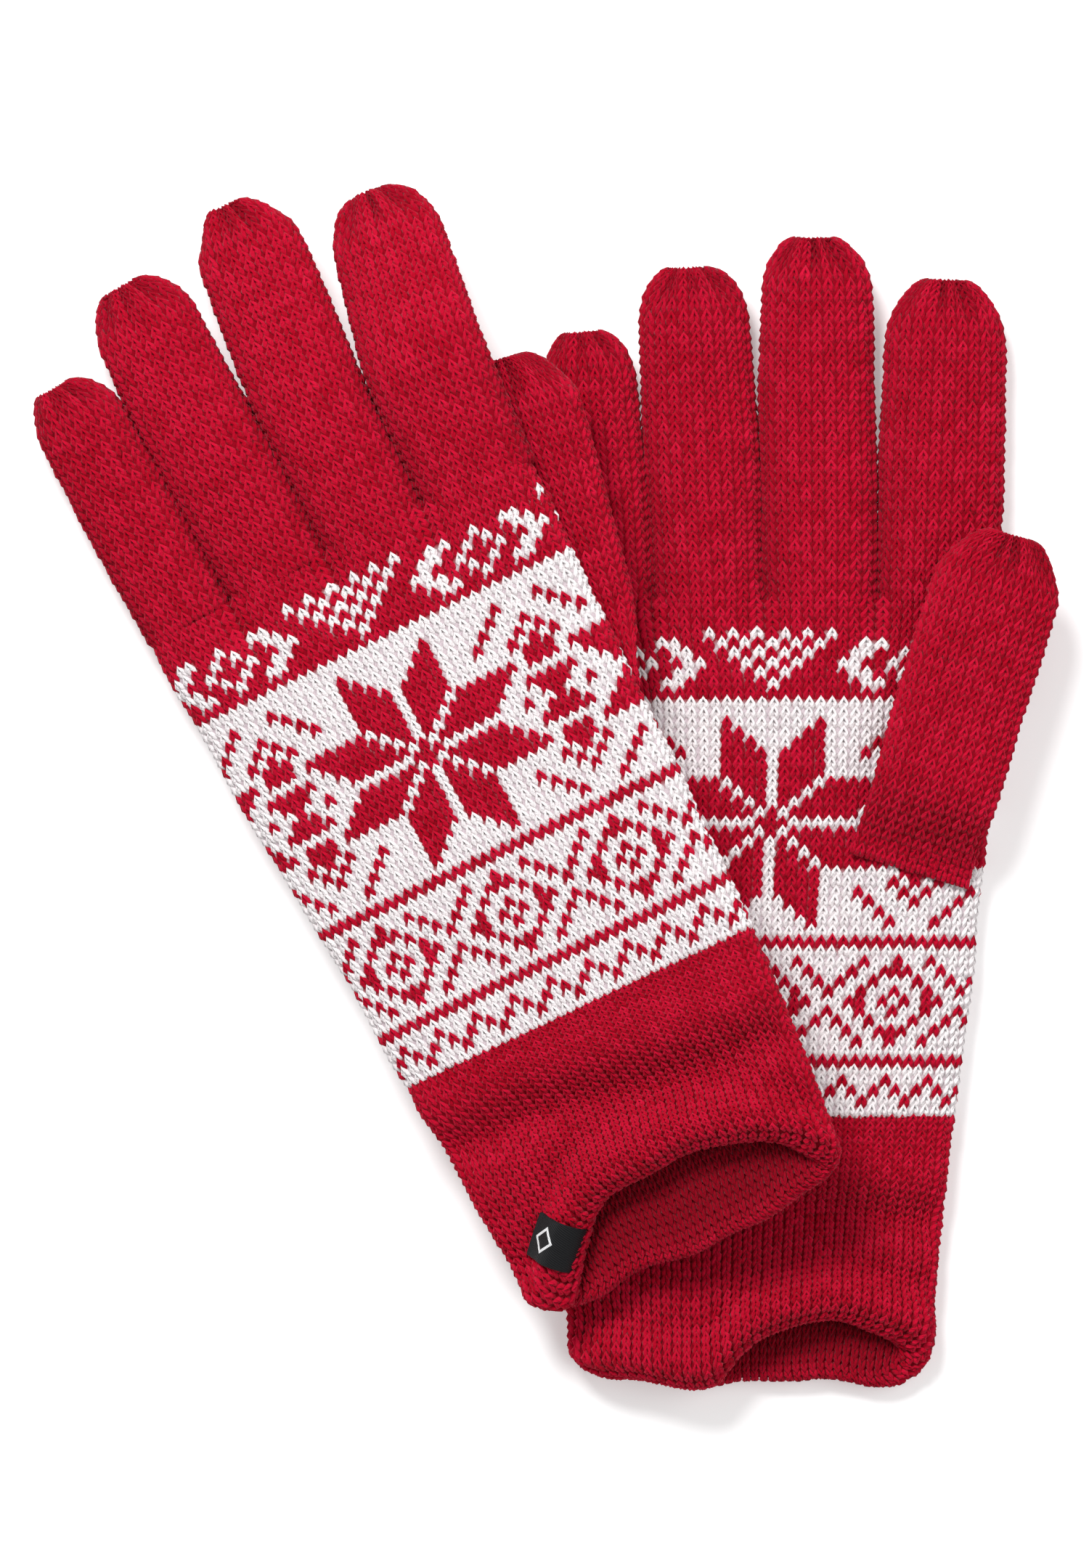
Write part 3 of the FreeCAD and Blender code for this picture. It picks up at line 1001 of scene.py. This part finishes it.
# %% [markdown]
# The yarn is a soft, slightly hairy two-ply acrylic. Its colour is a deep crimson that goes pink where the
# fuzz catches the light, which sheen gives, and every stitch differs a little. The lining between the
# stitches is painted in darker copies of the same yarn's colours, as shade, and the shaded folds take the
# same painted shade; the cream's copy is also pinker, for the red yarn behind the white stitches. The bump
# is the twist of the ply and the fuzz.

# %% The yarn
CRIMSON = (0.36, 0.001, 0.013, 1)
CRIMSON_LIGHT = (0.56, 0.006, 0.036, 1)
# Painted shade: darker copies of the crimson and the cream, for the lining and the shaded folds. The cream
# one is also pinker, for the red yarn seen behind the white stitches.
CRIMSON_SHADE = (0.23, 0.001, 0.009, 1)
CREAM = (0.88, 0.84, 0.84, 1)
CREAM_DULL = (0.77, 0.72, 0.73, 1)
CREAM_SHADE = (0.52, 0.44, 0.47, 1)
PINK_FUZZ = (1.0, 0.6, 0.66, 1)
FUZZ_SCALE = 2600
CLOUD_SCALE = 90


def yarn_finish(name):
    finish = Finish(name)
    place = finish.place()
    white = finish.attribute("white")
    # How much of the shaded colours each point takes: painted shade, all of it on the lining.
    painted_shade_share = finish.attribute("painted_shade_share")
    shade = finish.attribute("shade")
    fuzz = finish.noise(place, FUZZ_SCALE, 3)
    cloudy = finish.noise(place, CLOUD_SCALE, 2)
    lightness = shade * 0.16 + fuzz * 0.9 + cloudy * 0.5 - 0.35
    red = finish.mix(lightness, CRIMSON, CRIMSON_LIGHT)
    cream = finish.mix(lightness, CREAM_DULL, CREAM)
    yarn = finish.mix(white, red, cream)
    # Painted shade: the darker colours that the lining and the shaded folds take.
    shaded = finish.mix(white, CRIMSON_SHADE, CREAM_SHADE)
    finish.set(Base_Color=finish.mix(painted_shade_share, yarn, shaded), Roughness=0.9)
    finish.set(Sheen_Weight=0.1, Sheen_Roughness=0.45, Sheen_Tint=PINK_FUZZ, Specular_IOR_Level=0.04)
    turn = (finish.attribute("yarn_along") * 2.0 + finish.attribute("yarn_round") * 2.0) * math.pi
    twist = finish.node("ShaderNodeMath", {"operation": "SINE"}, {0: turn})
    finish.bump(twist * 0.35 + fuzz * 1.2, 0.55, 0.0004)
    return finish.material


yarn = yarn_finish("crimson_and_cream_yarn")
print("yarn material with", len(yarn.node_tree.nodes), "nodes")

# %% [markdown]
# The label is black satin with a small white woven mark. The mark is a plain outlined lozenge. The weave is
# drawn on the label's own map, which follows the strip over the fold.

# %% The label's satin
MARK_HALF = 3.4
MARK_LINE = 0.55
MARK_SLIMNESS = 1.25
MARK_CENTRE = LABEL_OUTER
WEAVE_SCALE = 14.0
label_travel = np.linalg.norm(np.diff(label_grid, axis=0), axis=2).mean(axis=1)
label_length = float(label_travel.sum())


def label_finish(name):
    finish = Finish(name)
    where = finish.node("ShaderNodeUVMap", {"uv_map": label.data.uv_layers[0].name}, output="UV")
    apart = finish.tree.nodes.new("ShaderNodeSeparateXYZ")
    finish.feed(apart.inputs[0], where)
    across = Socket(finish, apart.outputs[0])
    along = Socket(finish, apart.outputs[1])
    side = finish.size_of(across * LABEL_WIDTH - LABEL_WIDTH / 2)
    up = finish.size_of(along * label_length - MARK_CENTRE)
    ring = finish.size_of(side * MARK_SLIMNESS + up - MARK_HALF)
    mark = finish.node("ShaderNodeMath", {"operation": "LESS_THAN"}, {0: ring, 1: MARK_LINE})
    weave = finish.node("ShaderNodeTexWave", {"wave_type": "BANDS", "bands_direction": "DIAGONAL"},
                        {"Vector": where, "Scale": WEAVE_SCALE, "Distortion": 0.6}, "Fac")
    black = finish.mix(weave, (0.004, 0.004, 0.005, 1), (0.010, 0.010, 0.011, 1))
    thread = finish.mix(weave, (0.55, 0.55, 0.56, 1), (0.82, 0.82, 0.83, 1))
    finish.set(Base_Color=finish.mix(mark, black, thread), Roughness=0.6, Specular_IOR_Level=0.15)
    finish.bump(weave + mark * 1.5, 0.5, 0.0002)
    return finish.material


satin = label_finish("black_woven_satin")
print("label is", round(label_length, 1), "mm long over the fold")

# %% [markdown]
# ## Put the pair together
#
# Every piece takes its finish and stands for its frame nodes. The hand, the cuff and the label ride on their
# glove's body, as does a finger whose end has no body of its own; the thumbs, and any finger whose end has a
# body, are fixed in place where they lie.

# %% Finishes, places and bodies
for name, piece in pieces.items():
    piece.data.materials.clear()
    piece.data.materials.append(satin if piece is label else yarn)


def finger_point(lie, finger, distance):
    along, up, _ = bent_path(np.array([distance]), FINGER_BEND[finger], lie.droop[finger])
    lean = math.radians(lie.lean[finger])
    x = finger_x(lie, finger) - along[0] * math.sin(lean)
    return tuple(lie.world((x, KNUCKLE_Y + along[0] * math.cos(lean), up[0])))


for lie in (right, left):
    side = lie.side
    body = side + "_glove"
    palm_piece = pieces[side + "_patterned_hand"]
    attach(palm_piece, body)
    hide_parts(side + "_hand")
    cuff_piece = pieces[side + "_ribbed_cuff"]
    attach(cuff_piece, body)
    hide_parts(side + "_cuff")
    thumb_piece = pieces[side + "_thumb_tube"]
    level = lie.palm * (HAND_THICK + THUMB_THICK) / 2
    root = lie.world(lie.thumb_point(1.0, 0.0, level))
    past_root = lie.world(lie.thumb_point(ROOT_REACH, 0.0, level))
    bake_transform(thumb_piece)
    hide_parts(side + "_thumb")
    for finger in FINGER_WIDTH:
        piece = pieces[side + "_" + finger + "_finger"]
        tip_body = side + "_" + finger + "_finger_tip"
        if tip_body in frame["bodies"]:
            before = finger_point(lie, finger, FINGER_BEND[finger] - BEND_REACH)
            after = finger_point(lie, finger, FINGER_BEND[finger] + BEND_REACH)
            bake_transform(piece)
        else:
            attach(piece, body)
        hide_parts(side + "_" + finger + "_finger_lower", side + "_" + finger + "_finger_upper")
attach(label, "left_glove")
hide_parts("left_label")
print(len(pieces), "pieces ride")

# %% [markdown]
# ## Table, light and camera
#
# The pair is seen from straight above on a white table. Big soft lamps keep the shadows pale, and one side
# is a little brighter, so the stitches and the edges of the fingers still read. The table also glows
# faintly,
# though it is no lamp: painted light that lifts its shadows and the gaps between the fingers.

# %% Table, light and camera
VIEW_HEIGHT = 3.0
FRAME_TALL = 0.3391
VIEW_X = -0.0007
VIEW_Y = 0.0008
VIEW_LEVEL = 0.018

select_none()
bpy.ops.mesh.primitive_plane_add(size=6.0, location=(0, 0, -0.0002))
table = bpy.context.object
table.name = "table"
table_finish = Finish("glowing_white_table")
table_finish.set(Base_Color=(0.8, 0.8, 0.8, 1), Roughness=0.7, Specular_IOR_Level=0.1)
# Painted light: the table glows, so the shadows on it and between the fingers are paler.
table_finish.set(Emission_Color=(1, 1, 1, 1), Emission_Strength=0.3)
table.data.materials.append(table_finish.material)


def soft_lamp(name, place, size, power):
    lamp = bpy.data.lights.new(name, "AREA")
    lamp.shape = "DISK"
    lamp.size = size
    lamp.energy = power
    holder = bpy.data.objects.new(name, lamp)
    bpy.context.collection.objects.link(holder)
    holder.location = place
    holder.rotation_euler = (-Vector(place)).to_track_quat("-Z", "Y").to_euler()
    return holder


soft_lamp("key", (-0.4, 0.9, 1.3), 0.6, 26)
soft_lamp("fill", (0.9, 0.1, 1.3), 1.2, 7)
world = bpy.data.worlds.new("studio")
world.use_nodes = True
world.node_tree.nodes["Background"].inputs["Color"].default_value = (1, 1, 1, 1)
world.node_tree.nodes["Background"].inputs["Strength"].default_value = 0.48
bpy.context.scene.world = world

camera_data = bpy.data.cameras.new("camera")
camera_data.sensor_fit = "VERTICAL"
camera_data.angle = 2 * math.atan(FRAME_TALL / 2 / (VIEW_HEIGHT - VIEW_LEVEL))
camera = bpy.data.objects.new("camera", camera_data)
bpy.context.collection.objects.link(camera)
camera.location = (VIEW_X, VIEW_Y, VIEW_HEIGHT)
bpy.context.scene.camera = camera
bpy.context.scene.view_settings.view_transform = "Standard"
print("camera", tuple(camera.location))
